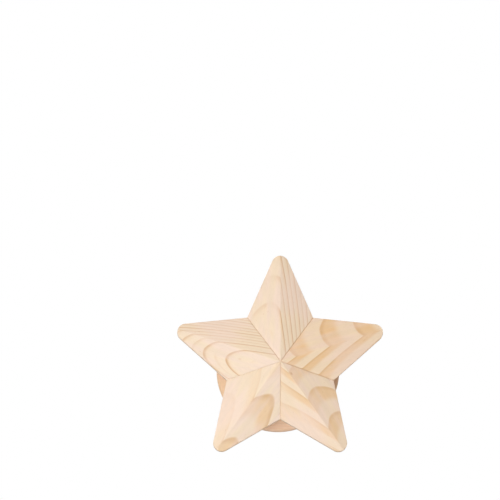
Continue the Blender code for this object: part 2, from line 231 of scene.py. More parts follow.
# %% Hang the lamps
LAMPS = {
    # name: direction from the star as (right, towards the room, up), distance, size, watts
    "key": ((-0.20, 0.96, -0.21), 2.2, 0.5, 23.6),
    "behind_left": ((-0.80, -0.55, 0.15), 3.0, 1.5, 24.0),
    "behind_right": ((0.80, -0.55, 0.15), 3.0, 1.5, 24.0),
    "above": ((0.0, -0.40, 0.92), 3.0, 1.5, 18.0),
}
LAMP_COLOUR = (0.98, 0.99, 1.04)
for name, ((right, out, up), distance, size, watts) in LAMPS.items():
    data = bpy.data.lights.new(name, "AREA")
    data.shape = "DISK"
    data.size = size
    data.energy = watts
    data.color = LAMP_COLOUR
    lamp = new_object(name, data)
    towards = Vector((right, -out, up)).normalized()
    lamp.location = star_centre + towards * distance
    lamp.rotation_mode = "QUATERNION"
    lamp.rotation_quaternion = towards.to_track_quat("Z", "Y")
    lamp.visible_camera = False
    lamp.visible_glossy = name == "key"  # steel would mirror the other lamps as white spots
print("lamps:", ", ".join(LAMPS))

# %% [markdown]
# ## How pine grows
#
# A trunk is a stack of cones, one a year, and a board is a slice through them. Each ring starts
# pale in spring and darkens slowly to honey-coloured latewood, which ends at a sharp line. Seen
# on a board, the rings are stripes where the cut runs across them and wide arches where it
# grazes them. The five boards of the star differ most in where the trunk's heart, the pith, lay.
#
# A picture of grain wouldn't turn the corner from one facet to the next. So the rings are worked
# out in three dimensions, from the distance to the pith, and both facets, the sides and the back
# of a board agree with each other, as they do in real wood.

# %% Write helpers for node groups
FLOAT = "NodeSocketFloat"
VECTOR = "NodeSocketVector"
COLOUR = "NodeSocketColor"
HALF = (0.5, 0.5, 0.5)  # the middle of a noise in three channels


def new_group(name, inputs, outputs):
    """An empty node group with named sockets of each kind, and its two end nodes"""
    made = bpy.data.node_groups.new(name, "ShaderNodeTree")
    for way, kinds in (("INPUT", inputs), ("OUTPUT", outputs)):
        for kind, names in kinds.items():
            for socket in names:
                made.interface.new_socket(name=socket, in_out=way, socket_type=kind)
    return made, made.nodes.new("NodeGroupInput").outputs, made.nodes.new("NodeGroupOutput").inputs


def place_group(tree, group, inputs):
    """The outputs of a group, placed in a tree with its own values"""
    return node(tree, "ShaderNodeGroup", inputs, node_tree=group).outputs


def split(tree, vector):
    """The X, Y and Z of a vector"""
    return node(tree, "ShaderNodeSeparateXYZ", {0: vector}).outputs


def noise(tree, place, detail=2.0, output="Fac"):
    """Soft noise, with a wave in each unit of place"""
    inputs = {"Vector": place, "Scale": 1.0, "Detail": detail}
    return node(tree, "ShaderNodeTexNoise", inputs).outputs[output]


def ramp(tree, value, low, high, start=0.0, end=1.0):
    """A smooth step from one value to another"""
    inputs = {"Value": value, "From Min": low, "From Max": high, "To Min": start, "To Max": end}
    return node(tree, "ShaderNodeMapRange", inputs, interpolation_type="SMOOTHSTEP").outputs["Result"]


def vary(tree, middle, mask, amount):
    """A middle value that a mask from 0 to 1 lowers or raises by up to half of an amount"""
    return maths(tree, "MULTIPLY_ADD", maths(tree, "SUBTRACT", mask, 0.5), amount, middle)


# %% Make the group that draws growth rings
RINGS_COUNTED = 16
WANDER_SCALE = (14.0, 14.0, 5.0)  # waves per metre across, through and along the board
WANDER_APART = 40.0  # moves each board to a part of the noise of its own, by its pith's place
WANDER = 4 * MM
CROSSWISE = (1, 1, 0)  # leaves out what runs along the board
YEAR_START = 0.6 * MM  # width of the step back from a year's last latewood to pale wood
YEAR_LINE = 1.4 * MM  # width of the dark line before it
LATE_TURN = 1.3  # a power that holds the honey back a little
PALE_SEASON = 0.35  # the part of a year that still has the strength of the ring before it
rings, given, result = new_group(
    "growth_rings",
    {
        VECTOR: ("Board", "Pith", "Lean"),
        FLOAT: ("Ring Width", "First Ring", "Darkens From", "Darkens To"),
    },
    {FLOAT: ("Latewood", "Line", "Year")},
)
slow = vectors(rings, "MULTIPLY", given["Board"], WANDER_SCALE)
slow = vectors(rings, "ADD", slow, vectors(rings, "SCALE", given["Pith"], WANDER_APART))
waves = vectors(rings, "SUBTRACT", noise(rings, slow, output="Color"), HALF)
point = vectors(rings, "ADD", given["Board"], vectors(rings, "SCALE", waves, WANDER))
leaning = vectors(rings, "SCALE", given["Lean"], split(rings, point)["Z"])
spoke = vectors(rings, "SUBTRACT", point, vectors(rings, "ADD", given["Pith"], leaning))
spoke = vectors(rings, "MULTIPLY", spoke, CROSSWISE)
years = maths(rings, "DIVIDE", vectors(rings, "LENGTH", spoke), given["Ring Width"])
years = maths(rings, "SUBTRACT", years, given["First Ring"])
season = maths(rings, "FRACT", years)
since_winter = maths(rings, "MULTIPLY", season, given["Ring Width"])
to_winter = maths(rings, "MULTIPLY", maths(rings, "SUBTRACT", 1.0, season), given["Ring Width"])
closing = ramp(rings, since_winter, 0.0, YEAR_START, 1.0, 0.0)
line = ramp(rings, to_winter, 0.0, YEAR_LINE, 1.0, 0.0)
latewood = ramp(rings, season, given["Darkens From"], given["Darkens To"])
latewood = maths(rings, "POWER", latewood, LATE_TURN)
rings.links.new(maths(rings, "MAXIMUM", latewood, closing), result["Latewood"])
rings.links.new(maths(rings, "MAXIMUM", line, closing), result["Line"])
nearest = maths(rings, "FLOOR", maths(rings, "ADD", years, 1 - PALE_SEASON))
rings.links.new(maths(rings, "DIVIDE", nearest, RINGS_COUNTED), result["Year"])

# %% [markdown]
# ## Fibres
#
# Between the rings, pine is made of long fibres: faint streaks some millimetres wide, fine lines
# of less than a millimetre, and short dark dashes where a resin canal is cut open. Wide patches
# lean a little to pink or to yellow. All are noise that is stretched along the board, so they
# turn to dots where a board's end is cut.

# %% Make the group that draws fibres
FIBRE_LAYERS = {
    # mask: waves per metre across, through and along, levels of detail, the part that is kept
    "Streak": ((160.0, 160.0, 5.0), 3.0, None),
    "Fibre": ((1100.0, 1100.0, 26.0), 2.0, None),
    "Canal": ((900.0, 900.0, 75.0), 0.0, (0.76, 0.86)),
    "Patch": ((60.0, 60.0, 12.0), 1.0, (0.35, 0.65)),
}
fibres, given, result = new_group("pine_fibres", {VECTOR: ["Board"]}, {FLOAT: FIBRE_LAYERS})
for layer, (scale, detail, kept) in FIBRE_LAYERS.items():
    mask = noise(fibres, vectors(fibres, "MULTIPLY", given["Board"], scale), detail)
    if kept is not None:
        mask = ramp(fibres, mask, *kept)
    fibres.links.new(mask, result[layer])

# %% [markdown]
# ## Glued panels
#
# The star's rays and the ribs are cut from one board each. A wide board would cup and split, so
# the disc, the hub and the tread are cut from a panel of narrow staves, glued edge to edge. Each
# stave comes from another part of a trunk. This group moves the grain of each stave to a place
# of its own, and marks the fine glue lines.

# %% Make the group that lays staves
STAVE_SHIFT = (0.05, 0.03, 3.0)  # how far a stave's grain may lie from its neighbour's
GLUE_LINE = 0.007  # how far a glue line reaches into a stave, as a share of its width
staves, given, result = new_group(
    "glued_staves",
    {VECTOR: ["Board"], FLOAT: ("Stave Width", "Offset")},
    {VECTOR: ["Board"], FLOAT: ["Glue Line"]},
)
place = maths(staves, "DIVIDE", split(staves, given["Board"])["X"], given["Stave Width"])
place = maths(staves, "ADD", place, given["Offset"])
stave = maths(staves, "FLOOR", place)
luck = node(staves, "ShaderNodeTexWhiteNoise", {"W": stave}, noise_dimensions="1D").outputs["Color"]
shift = vectors(staves, "MULTIPLY", vectors(staves, "SUBTRACT", luck, HALF), STAVE_SHIFT)
staves.links.new(vectors(staves, "ADD", given["Board"], shift), result["Board"])
from_edge = maths(staves, "PINGPONG", place, 0.5)
staves.links.new(ramp(staves, from_edge, 0.0, GLUE_LINE, 1.0, 0.0), result["Glue Line"])

# %% [markdown]
# ## Sanded edges
#
# Sandpaper takes most from an edge. Fresh pine shows there: a shade paler and smoother than the
# faces. The paleness also stands for the light that rounded edges catch, so it is in part a painted
# highlight. The Bevel node averages the surface over a short reach around each point, and where
# that average turns away from the point's own normal there is an edge.

# %% Make the group that finds edges
EDGE_TURN = (0.05, 0.45)  # how far the average turns where an edge begins, and where it is full
edges, given, result = new_group("sanded_edges", {FLOAT: ["Reach"]}, {FLOAT: ["Edge"]})
softened = node(edges, "ShaderNodeBevel", {"Radius": given["Reach"]}, samples=6).outputs["Normal"]
own = node(edges, "ShaderNodeNewGeometry").outputs["Normal"]
turned_away = vectors(edges, "LENGTH", vectors(edges, "SUBTRACT", softened, own))
edges.links.new(ramp(edges, turned_away, *EDGE_TURN), result["Edge"])

# %% [markdown]
# ## Pin knots
#
# A twig that died young leaves a knot no wider than a pin's head. Two of the star's boards have
# one. A knot is a short dark rod that points from the pith to the bark, so near enough straight
# out of the board, and its colour bleeds a little way along the fibres.

# %% Make the group that draws a pin knot
KNOT_STRETCH = (1.0, 0.0, 0.55)  # across, through and along the board
KNOT_CORE = 0.35  # the share of its size in which a knot is at its darkest
inputs = {VECTOR: ("Board", "Knot"), FLOAT: ["Size"]}
knots, given, result = new_group("pin_knot", inputs, {FLOAT: ["Knot"]})
away = vectors(knots, "SUBTRACT", given["Board"], given["Knot"])
away = vectors(knots, "MULTIPLY", away, KNOT_STRETCH)
nearness = maths(knots, "DIVIDE", vectors(knots, "LENGTH", away), given["Size"])
knots.links.new(ramp(knots, nearness, KNOT_CORE, 1.0, 1.0, 0.0), result["Knot"])

# %% [markdown]
# ## Raw pine
#
# The last group turns those masks into colour, roughness and a height for the bump. Sanding
# wears the soft spring wood down a little more than the hard latewood, so the rings stand proud
# by some hundredths of a millimetre. That is too little to model, and just enough to be seen
# in a raking light. No two summers are alike, so each ring also has a strength of its own, and
# streaks and patches make its honey uneven.

# %% Make the group that tints pine
PINKISH, YELLOWISH = (1.0, 0.985, 1.0, 1), (0.99, 0.995, 0.93, 1)
STREAK_UNEVEN, PATCH_UNEVEN = 0.8, 0.6  # how much each changes a ring's strength
# Along the rays' seams the glue mask is painted shade in the seams' creases; between a panel's staves it
# is a real glue line.
DARK_SHARES = {"Canal": 0.35, "Glue Line": 0.5, "Knot": 0.8}  # how far each goes to dark
# An edge's paleness is sanded wood, and in part a painted highlight on the rounded edges.
STREAK_SHADE, FIBRE_SHADE, EDGE_PALE_AND_HIGHLIGHT = 0.14, 0.10, 0.06  # how much each changes the brightness
PINE_ROUGHNESS, FIBRE_ROUGHNESS = 0.62, 0.16  # on the whole, and what fibres change
SMOOTHER = {"Latewood": 0.10, "Edge": 0.08}  # how much less rough each is
LATEWOOD_HEIGHT, FIBRE_HEIGHT = 0.5, 0.6  # where a resin canal is 1 deep
pine, given, result = new_group(
    "raw_pine",
    {
        FLOAT: (
            "Latewood", "Line", "Ring Strength", "Streak", "Fibre", "Canal", "Patch", "Knot", "Edge",
            "Glue Line", "Honey Amount", "Line Amount",
        ),
        COLOUR: ("Pale", "Honey", "Dark"),
    },
    {COLOUR: ["Color"], FLOAT: ("Roughness", "Height")},
)
uneven = vary(pine, given["Ring Strength"], given["Streak"], STREAK_UNEVEN)
uneven = maths(pine, "MULTIPLY", uneven, vary(pine, 1.0, given["Patch"], PATCH_UNEVEN))
colour = given["Pale"]
for mask, amount, tone in (("Latewood", "Honey Amount", "Honey"), ("Line", "Line Amount", "Dark")):
    share = maths(pine, "MULTIPLY", maths(pine, "MULTIPLY", given[mask], given[amount]), uneven)
    colour = blend(pine, share, colour, given[tone])
for mask, share in DARK_SHARES.items():
    colour = blend(pine, maths(pine, "MULTIPLY", given[mask], share), colour, given["Dark"])
colour = vectors(pine, "MULTIPLY", colour, blend(pine, given["Patch"], PINKISH, YELLOWISH))
shade = vary(pine, vary(pine, 1.0, given["Fibre"], FIBRE_SHADE), given["Streak"], STREAK_SHADE)
# Paler edges: sanded wood, and in part a painted highlight.
shade = maths(pine, "MULTIPLY_ADD", given["Edge"], EDGE_PALE_AND_HIGHLIGHT, shade)
pine.links.new(vectors(pine, "SCALE", colour, shade), result["Color"])
rough = vary(pine, PINE_ROUGHNESS, given["Fibre"], FIBRE_ROUGHNESS)
for mask, drop in SMOOTHER.items():
    rough = maths(pine, "SUBTRACT", rough, maths(pine, "MULTIPLY", given[mask], drop))
pine.links.new(rough, result["Roughness"])
height = maths(pine, "MULTIPLY", given["Fibre"], FIBRE_HEIGHT)
height = maths(pine, "MULTIPLY_ADD", given["Latewood"], LATEWOOD_HEIGHT, height)
height = maths(pine, "SUBTRACT", height, maths(pine, "ADD", given["Canal"], given["Glue Line"]))
pine.links.new(height, result["Height"])
for group in (rings, fibres, staves, edges, knots, pine):
    print("group", group.name, "has", len(group.nodes), "nodes")


# %% Write helpers for a finish
def paint(*channels):
    """A colour as the eye reads it, from 0 to 255, turned into the shader's linear light"""
    return (*Color([value / 255 for value in channels]).from_srgb_to_scene_linear(), 1)


def ring_strengths(tree, year, strengths):
    """Looks up how strong a ring is. The last one stands for all later rings."""
    lookup = node(tree, "ShaderNodeValToRGB", {"Fac": year})
    stops = lookup.color_ramp.elements
    lookup.color_ramp.interpolation = "CONSTANT"
    while len(stops) < len(strengths):
        stops.new(len(stops) / RINGS_COUNTED)
    for i, (stop, strength) in enumerate(zip(stops, strengths)):
        stop.position = max(0, (i - 0.5) / RINGS_COUNTED)
        stop.color = (strength, strength, strength, 1)
    return lookup.outputs["Color"]


def dress(tree, shader, look, bump, depth):
    """Joins a look's colour and roughness to the shader, and its height through a bump"""
    relief = {"Height": look["Height"], "Strength": bump, "Distance": depth}
    normal = node(tree, "ShaderNodeBump", relief).outputs["Normal"]
    fill(tree, shader, {"Base Color": look["Color"], "Roughness": look["Roughness"], "Normal": normal})


# %% Write the function that finishes one board
TONES = {"Pale": paint(243, 226, 206), "Honey": paint(235, 202, 160), "Dark": paint(206, 163, 118)}
PINE_GLOSS = 0.35
EVEN = (0.8, 1.0, 0.7, 0.9, 0.75, 1.0, 0.8, 0.9)  # the strengths of rings that hardly differ
KNOT_SIZE = 2.2 * MM
EDGE_REACH = 1.5 * MM
GRAIN_BUMP, GRAIN_RELIEF = 0.5, 0.12 * MM
SEAM_SHADE_REACH = (0.3 * MM, 1.3 * MM)  # how far from a seam the painted seam shade begins to fade, and ends
SECTOR = radians(72)  # of the star that one ray takes


def pine_board(
    name,
    lie,  # where the board's middle is, and the turn that lays its Z along the fibres
    pith,  # to the right of the board's middle and in front of its face, in millimetres
    lean,  # how fast the pith moves that way along the board
    width,  # of a ring, in millimetres
    first=0.0,  # how many ring widths from the pith the count begins
    strengths=EVEN,
    quiet=None,  # where the rings fade, as (across from, across to, strength left)
    honey=0.8,
    line=0.5,
    tint=(1, 1, 1),
    stave=None,  # the width of a panel's staves and the offset of the first, in millimetres
    knot=None,  # a pin knot's place across and along the board, in millimetres, and its strength
    darkens=(0.30, 1.05),  # the part of a year in which the wood turns from pale to honey
    squeeze=0.0,  # how strong the painted shade beside a ray's two seams is
):
    """The material of one board"""
    material, tree, shader = new_material(name)
    fill(tree, shader, {"Specular IOR Level": PINE_GLOSS})
    here = node(tree, "ShaderNodeTexCoord").outputs["Object"]
    undone = {"Vector": here, "Location": lie[0], "Rotation": lie[1]}
    board = node(tree, "ShaderNodeMapping", undone, vector_type="TEXTURE").outputs["Vector"]
    masks = {}
    if stave is not None:
        offset = -stave[1] / stave[0]
        laid = place_group(tree, staves, {"Board": board, "Stave Width": stave[0] * MM, "Offset": offset})
        board, masks["Glue Line"] = laid["Board"], laid["Glue Line"]
    growth = {
        "Board": board,
        "Pith": (pith[0] * MM, -pith[1] * MM, 0),
        "Lean": (lean[0], -lean[1], 0),
        "Ring Width": width * MM,
        "First Ring": first,
        "Darkens From": darkens[0],
        "Darkens To": darkens[1],
    }
    ring = place_group(tree, rings, growth)
    strength = ring_strengths(tree, ring["Year"], strengths)
    if squeeze:
        part = split(tree, board)
        run = maths(tree, "MULTIPLY", part["Z"], sin(SECTOR / 2))
        reach = maths(tree, "MULTIPLY", maths(tree, "ABSOLUTE", part["X"]), cos(SECTOR / 2))
        # Beside the seams the wood is painted darker: painted shade in the seams' creases.
        masks["Glue Line"] = ramp(tree, maths(tree, "SUBTRACT", run, reach), *SEAM_SHADE_REACH, squeeze, 0.0)
    if quiet is not None:
        left_over = ramp(tree, split(tree, board)["X"], quiet[0] * MM, quiet[1] * MM, quiet[2], 1.0)
        strength = maths(tree, "MULTIPLY", strength, left_over)
    if knot is not None:
        spot = {"Board": board, "Knot": (knot[0] * MM, 0, knot[1] * MM), "Size": KNOT_SIZE}
        masks["Knot"] = maths(tree, "MULTIPLY", place_group(tree, knots, spot)["Knot"], knot[2])
    fibre = place_group(tree, fibres, {"Board": board})
    masks["Edge"] = place_group(tree, edges, {"Reach": EDGE_REACH})["Edge"]
    masks |= {mask: ring[mask] for mask in ("Latewood", "Line")}
    masks |= {mask: fibre[mask] for mask in FIBRE_LAYERS}
    tones = {name: (*[c * t for c, t in zip(tone, tint)], 1) for name, tone in TONES.items()}
    amounts = {"Ring Strength": strength, "Honey Amount": honey, "Line Amount": line}
    look = place_group(tree, pine, {**masks, **tones, **amounts})
    dress(tree, shader, look, GRAIN_BUMP, GRAIN_RELIEF)
    return material


# %% [markdown]
# ## Tools of the workshop
#
# A few functions do the work of the machines. The saw cuts a shape from an outline, the lathe
# turns a profile, and the router eases the edges. The drill takes a shape away from a
# piece. After that each piece's mesh is settled: the machines' modifiers are worked into it, so
# that its sharp edges can be marked and its large faces shaded flat.

# %% Write helpers for places
UP = Vector((0, 0, 1))
RIGHT = Vector((1, 0, 0))
OUT = Vector((0, -1, 0))  # away from the wall
IN = -OUT


def at(out, x=0.0, z=0.0):
    """The point at a distance out from the wall, x to the right and z above the axis"""
    return Vector((x, -out, z))


def pointing(direction, point):
    """A place whose local Z points in a direction"""
    return Matrix.Translation(point) @ direction.to_track_quat("Z", "Y").to_matrix().to_4x4()


def facing(x_axis, y_axis, point):
    """A place whose local X and Y lie along two axes"""
    axes = Matrix((x_axis, y_axis, x_axis.cross(y_axis))).transposed()
    return Matrix.Translation(point) @ axes.to_4x4()


def arc(centre, radius, start, end, steps):
    """Points on an arc, from one angle to the other"""
    angles = [start + (end - start) * i / steps for i in range(steps + 1)]
    return [(centre[0] + radius * cos(a), centre[1] + radius * sin(a)) for a in angles]


# %% Write the saw and the lathe
SAME_POINT = 1e-6


def closed_mesh(name, bm, placing=None):
    """A mesh with its faces turned outwards, in its place"""
    bmesh.ops.remove_doubles(bm, verts=bm.verts, dist=SAME_POINT)
    bmesh.ops.recalc_face_normals(bm, faces=bm.faces)
    if placing is not None:
        bm.transform(placing)
    mesh = bpy.data.meshes.new(name)
    bm.to_mesh(mesh)
    bm.free()
    return mesh


def sawn(name, outline, height, placing=None):
    """The saw: an outline in local X and Y, from 0 to a height along Z"""
    bm = bmesh.new()
    base = bm.faces.new([bm.verts.new((x, y, 0)) for x, y in outline])
    raised = bmesh.ops.extrude_face_region(bm, geom=[base])["geom"]
    corners = [item for item in raised if isinstance(item, bmesh.types.BMVert)]
    bmesh.ops.translate(bm, verts=corners, vec=(0, 0, height))
    return closed_mesh(name, bm, placing)


def ringed(name, loops, placing=None):
    """A skin over loops of points, each as (radius, height) around local Z, closed at both ends"""
    bm = bmesh.new()
    made = []
    for loop in loops:
        turn = 2 * pi / len(loop)
        points = [(r * cos(i * turn), r * sin(i * turn), z) for i, (r, z) in enumerate(loop)]
        made.append([bm.verts.new(point) for point in points])
    for lower, upper in zip(made, made[1:]):
        for i, corner in enumerate(lower):
            bm.faces.new([lower[i - 1], corner, upper[i], upper[i - 1]])
    for end in (made[0], made[-1]):
        bm.faces.new(end)
    return closed_mesh(name, bm, placing)


def turned(name, profile, sides, placing=None):
    """The lathe: a profile of (radius, height) points turned about local Z"""
    return ringed(name, [[corner] * sides for corner in profile], placing)


# %% Write the router and the drill
def eased(piece, width, steps, limit="ANGLE"):
    """The router: rounds the sharp edges, or those that carry a weight"""
    modifier = piece.modifiers.new("eased_edges", "BEVEL")
    modifier.width = width
    modifier.segments = steps
    modifier.limit_method = limit


def drill(pieces, shapes):
    """The drill: takes (mesh, place) shapes, which don't meet, out of pieces"""
    bm = bmesh.new()
    for mesh, placing in shapes:
        shape = mesh.copy()
        shape.transform(placing)
        bm.from_mesh(shape)
        bpy.data.meshes.remove(shape)
    bit = new_object("drill_bit", closed_mesh("drill_bit", bm))
    for piece in pieces:
        modifier = piece.modifiers.new("drilled", "BOOLEAN")
        modifier.operation = "DIFFERENCE"
        modifier.object = bit
    return bit


def settle(pieces, *bits):
    """Works the modifiers into the meshes and puts the drill bits away"""
    graph = bpy.context.evaluated_depsgraph_get()
    finished = {piece: bpy.data.meshes.new_from_object(piece.evaluated_get(graph)) for piece in pieces}
    for piece, mesh in finished.items():
        piece.modifiers.clear()
        mesh.name = piece.name
        piece.data = mesh
    for bit in bits:
        bpy.data.objects.remove(bit)


# %% Write how a piece is handed over
SMOOTH_WITHIN = radians(32)


def hand_over(piece, solid, material):
    """Shades a piece and gives it to the frame, in place of its solid"""
    mesh = piece.data
    mesh.shade_smooth()
    mesh.set_sharp_from_angle(angle=SMOOTH_WITHIN)
    mesh.materials.clear()
    mesh.materials.append(material)
    piece.modifiers.new("flat_faces", "WEIGHTED_NORMAL").keep_sharp = True
    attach(piece, "root")
    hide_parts(solid)


# %% [markdown]
# ## Screws and dowels
#
# The places of the fasteners come from the frame: the box of each solid gives its middle. They
# are made first, because the boards are drilled for them.
#
# A dowel is a beech pin with flutes rolled into it, which let air and spare glue out of its
# hole. A wood screw has a flat head with a cross-shaped recess, a plain neck, and a thread
# whose crest is as wide as the neck. Each is one skin over loops of points. In the recess, the
# loops follow the outline of a cross, and in the thread their radius swings once each turn,
# a little later in each loop, which is what makes a helix.

# %% Shape the dowel
DOWEL_RADIUS = 4.0 * MM
DOWEL_LENGTH = 30 * MM
DOWEL_CHAMFER = 1.0 * MM
FLUTES = 20
FLUTE_DEPTH = 0.28 * MM
DOWEL_COLUMNS = 6 * FLUTES


def dowel_loops():
    """The dowel's loops: a chamfered end, the fluted body and the other end"""
    half = DOWEL_LENGTH / 2
    end = [(DOWEL_RADIUS - DOWEL_CHAMFER, half)] * DOWEL_COLUMNS
    body = []
    for i in range(DOWEL_COLUMNS):
        flute = (1 - cos(2 * pi * i * FLUTES / DOWEL_COLUMNS)) / 2
        body.append((DOWEL_RADIUS - FLUTE_DEPTH * flute**2, half - DOWEL_CHAMFER))
    loops = [end, body]
    return [[(r, -z) for r, z in loop] for loop in loops] + loops[::-1]


fastener_meshes = {"dowel": ringed("dowel", dowel_loops())}
print("dowel:", len(fastener_meshes["dowel"].polygons), "faces")

# %% Set the screws' sizes
SCREW_SINK = 0.6 * MM  # how far a head lies under the face it is driven into
SCREW_RIM = 0.4 * MM
SCREW_COLUMNS = 48
ROWS_PER_TURN = 10
SCREWS = {
    # sizes in millimetres: radius of the thread, radius of the head, length, pitch, plain neck
    "carcass_screw": (2.25, 4.5, 50, 2.2, 14),
    "star_screw": (2.0, 4.0, 23, 1.9, 2),
    "plate_screw": (1.5, 2.9, 12, 1.4, 0.5),
}
ARM_ANGLE = radians(15)  # half of what an arm of the cross covers, seen from the middle
ARM_REACH = 0.55  # as a share of the head's radius
RECESS = ((0.25, 0.9), (0.8, 0.6), (1.0, 0.0))  # the cross's size and depth, as shares of an arm
RIM_EASE = (0.97, 0.2)  # where the head's eased edge starts and ends, as shares of radius and rim
THREAD_DEPTH = 0.34  # as a share of the radius
THREAD_FLANK = 0.6  # the share of the pitch that the thread's two sloping sides take
THREAD_START = 1.5  # turns in which the thread grows to its full depth
POINT_LENGTH = 2.4  # in radii
POINT_BULGE = 0.8  # a power below 1 makes the point round
BLUNT = 0.02  # the point's end, as a share of the radius, and in millimetres


# %% Shape the screws
def cross_radius(angle, arm):
    """The outline of a cross, as a distance from its middle"""
    from_arm = abs((angle + pi / 4) % (pi / 2) - pi / 4)
    if from_arm <= ARM_ANGLE + SAME_POINT:
        return arm / cos(from_arm)
    return arm * sin(ARM_ANGLE) / cos(ARM_ANGLE) / sin(from_arm)


def thread_radius(turns, radius, begun, taper):
    """How far out the thread's surface lies, at so many turns along its helix"""
    swing = abs(turns % 1 - 0.5) * 2
    crest = max(0, 1 - swing / THREAD_FLANK)
    depth = THREAD_DEPTH * radius * begun * (1 - crest)
    return max(BLUNT * MM, (radius - depth) * taper)


def screw_loops(radius, head, length, pitch, neck):
    """The screw's loops, from the bottom of its recess to its point"""
    top = SCREW_SINK
    shoulder = top + SCREW_RIM + head - radius
    start = shoulder + neck
    turns = [i / SCREW_COLUMNS for i in range(SCREW_COLUMNS)]
    arm = ARM_REACH * head
    loops = []
    for size, depth in RECESS:
        loops.append([(cross_radius(2 * pi * turn, arm * size), top + arm * depth) for turn in turns])
    rim = [(head * RIM_EASE[0], top), (head, top + RIM_EASE[1] * SCREW_RIM), (head, top + SCREW_RIM)]
    for corner in [*rim, (radius, shoulder), (radius, start)]:
        loops.append([corner] * SCREW_COLUMNS)
    rows = round((length - start) / pitch * ROWS_PER_TURN)
    for row in range(1, rows + 1):
        z = start + (length - start) * row / rows
        begun = min(1, (z - start) / (THREAD_START * pitch))
        left = (length - z) / (POINT_LENGTH * radius)
        taper = min(1, left) ** POINT_BULGE if left > 0 else BLUNT
        loops.append([(thread_radius(z / pitch - turn, radius, begun, taper), z) for turn in turns])
    return loops


for kind, sizes in SCREWS.items():
    fastener_meshes[kind] = ringed(kind, screw_loops(*[size * MM for size in sizes]))
    print(kind, len(fastener_meshes[kind].polygons), "faces")

# %% Find the fasteners' places
HOLE_CLEARANCE = 0.15 * MM
BORE_SIDES = 32
BORE_FRONT = 2 * MM  # how far in front of the face a screw's bore begins
BORE_POINT = (0.1 * MM, 1 * MM)  # radius and length of the cone at its end


def screw_bore(radius, head, length, *_):
    """A screw's hole with its countersink, from in front of the face"""
    shank, rim = radius + HOLE_CLEARANCE, head + HOLE_CLEARANCE
    neck = SCREW_SINK + SCREW_RIM
    profile = [(rim, -BORE_FRONT), (rim, neck), (shank, neck + rim - shank), (shank, length)]
    profile.append((BORE_POINT[0], length + BORE_POINT[1]))
    return turned("screw_bore", profile, BORE_SIDES)


bores = {kind: screw_bore(*[size * MM for size in sizes]) for kind, sizes in SCREWS.items()}
radius, half = DOWEL_RADIUS + HOLE_CLEARANCE, DOWEL_LENGTH / 2 + HOLE_CLEARANCE
bores["dowel"] = turned("dowel_bore", [(radius, -half), (radius, half)], BORE_SIDES)
RAY_NAMES = ("top", "upper_right", "lower_right", "lower_left", "upper_left")
fasteners = {}
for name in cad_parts:
    low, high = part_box(name)
    middle = (low + high) / 2
    if name.startswith("seam_dowel_"):
        turn = (next(i for i, ray in enumerate(RAY_NAMES) if ray in name) + 0.5) * SECTOR
        fasteners[name] = ("dowel", pointing(Vector((cos(turn), 0, -sin(turn))), middle))
    elif name.startswith("rib_dowel_"):
        fasteners[name] = ("dowel", pointing(UP, middle))
    elif "screw" in name:
        kind = name.split("_screw")[0] + "_screw"
        inwards = "_hub_" in name
        face = low.y - SCREW_SINK if inwards else high.y + SCREW_SINK
        fasteners[name] = (kind, pointing(IN if inwards else OUT, Vector((middle.x, face, middle.z))))
print(len(fasteners), "fasteners")


def holes_for(*beginnings):
    """The bores of the fasteners whose names begin in one of these ways"""
    found = [fasteners[name] for name in fasteners if name.startswith(beginnings)]
    return [(bores[kind], placing) for kind, placing in found]


# %% [markdown]
# ## The star's rays
#
# Each ray is one kite-shaped board. Its outline is a kite with a rounded tip, and every point of
# its front lies as high as the facets' slope says, so the ridge comes of itself where the two
# slopes meet. Each kind of edge was sanded by its own amount: the outline most, the ridge less,
# and the seams least. The edges carry that amount as a bevel weight. Along a seam the facets were
# also sanded down very slightly, which leaves a shallow slope that catches the light: thin cuts
# beside the seam give the mesh points there, and each is moved back by how near it is.

# %% Work out the ray's outline
STAR_REACH = 210.6 * MM  # axis to the point where a ray's two edges would meet
STAR_NOTCH = 98.2 * MM  # axis to the notch between two rays
STAR_RISE = 30 * MM  # how far the apex stands out past the outline
TIP_ROUND = 15 * MM
TIP_STEPS = 24
SEAM_GAP = 0.08 * MM
half_tip = atan2(STAR_NOTCH * sin(SECTOR / 2), STAR_REACH - STAR_NOTCH * cos(SECTOR / 2))
edge_offset = STAR_REACH * sin(half_tip)  # axis to the line of a ray's edge


def facet_rise(along, across):
    """How far the facets stand out past the outline"""
    distance = along * sin(half_tip) + abs(across) * cos(half_tip)
    return STAR_RISE * (1 - distance / edge_offset)


def ray_outline():
    """A ray from the front: its end at the axis, a notch, the round tip, the other notch"""
    half_gap = SEAM_GAP / 2
    corner = SECTOR / 2 + half_tip
    seam = (edge_offset + half_gap * cos(corner)) / sin(corner)
    along = seam * cos(SECTOR / 2) + half_gap * sin(SECTOR / 2)
    across = seam * sin(SECTOR / 2) - half_gap * cos(SECTOR / 2)
    swing = pi / 2 - half_tip
    tip = arc((STAR_REACH - TIP_ROUND / sin(half_tip), 0), TIP_ROUND, swing, -swing, TIP_STEPS)
    return [(half_gap / sin(SECTOR / 2), 0), (along, across), *tip, (along, -across)]


print("half a ray's tip is", round(half_tip / radians(1), 1), "degrees")

# %% Write how a ray is shaped
WHOLE_WEIGHT = 10 * MM  # the rounding that a bevel weight of 1 stands for
EDGE_WEIGHTS = {"outline": 0.30, "ridge": 0.14, "seam": 0.05, "back": 0.10}
RAY_EASE_STEPS = 4
SEAM_SLOPE = 2.4 * MM  # width of the slope beside a seam
SEAM_DROP = 0.65 * MM
SEAM_CUTS = 3


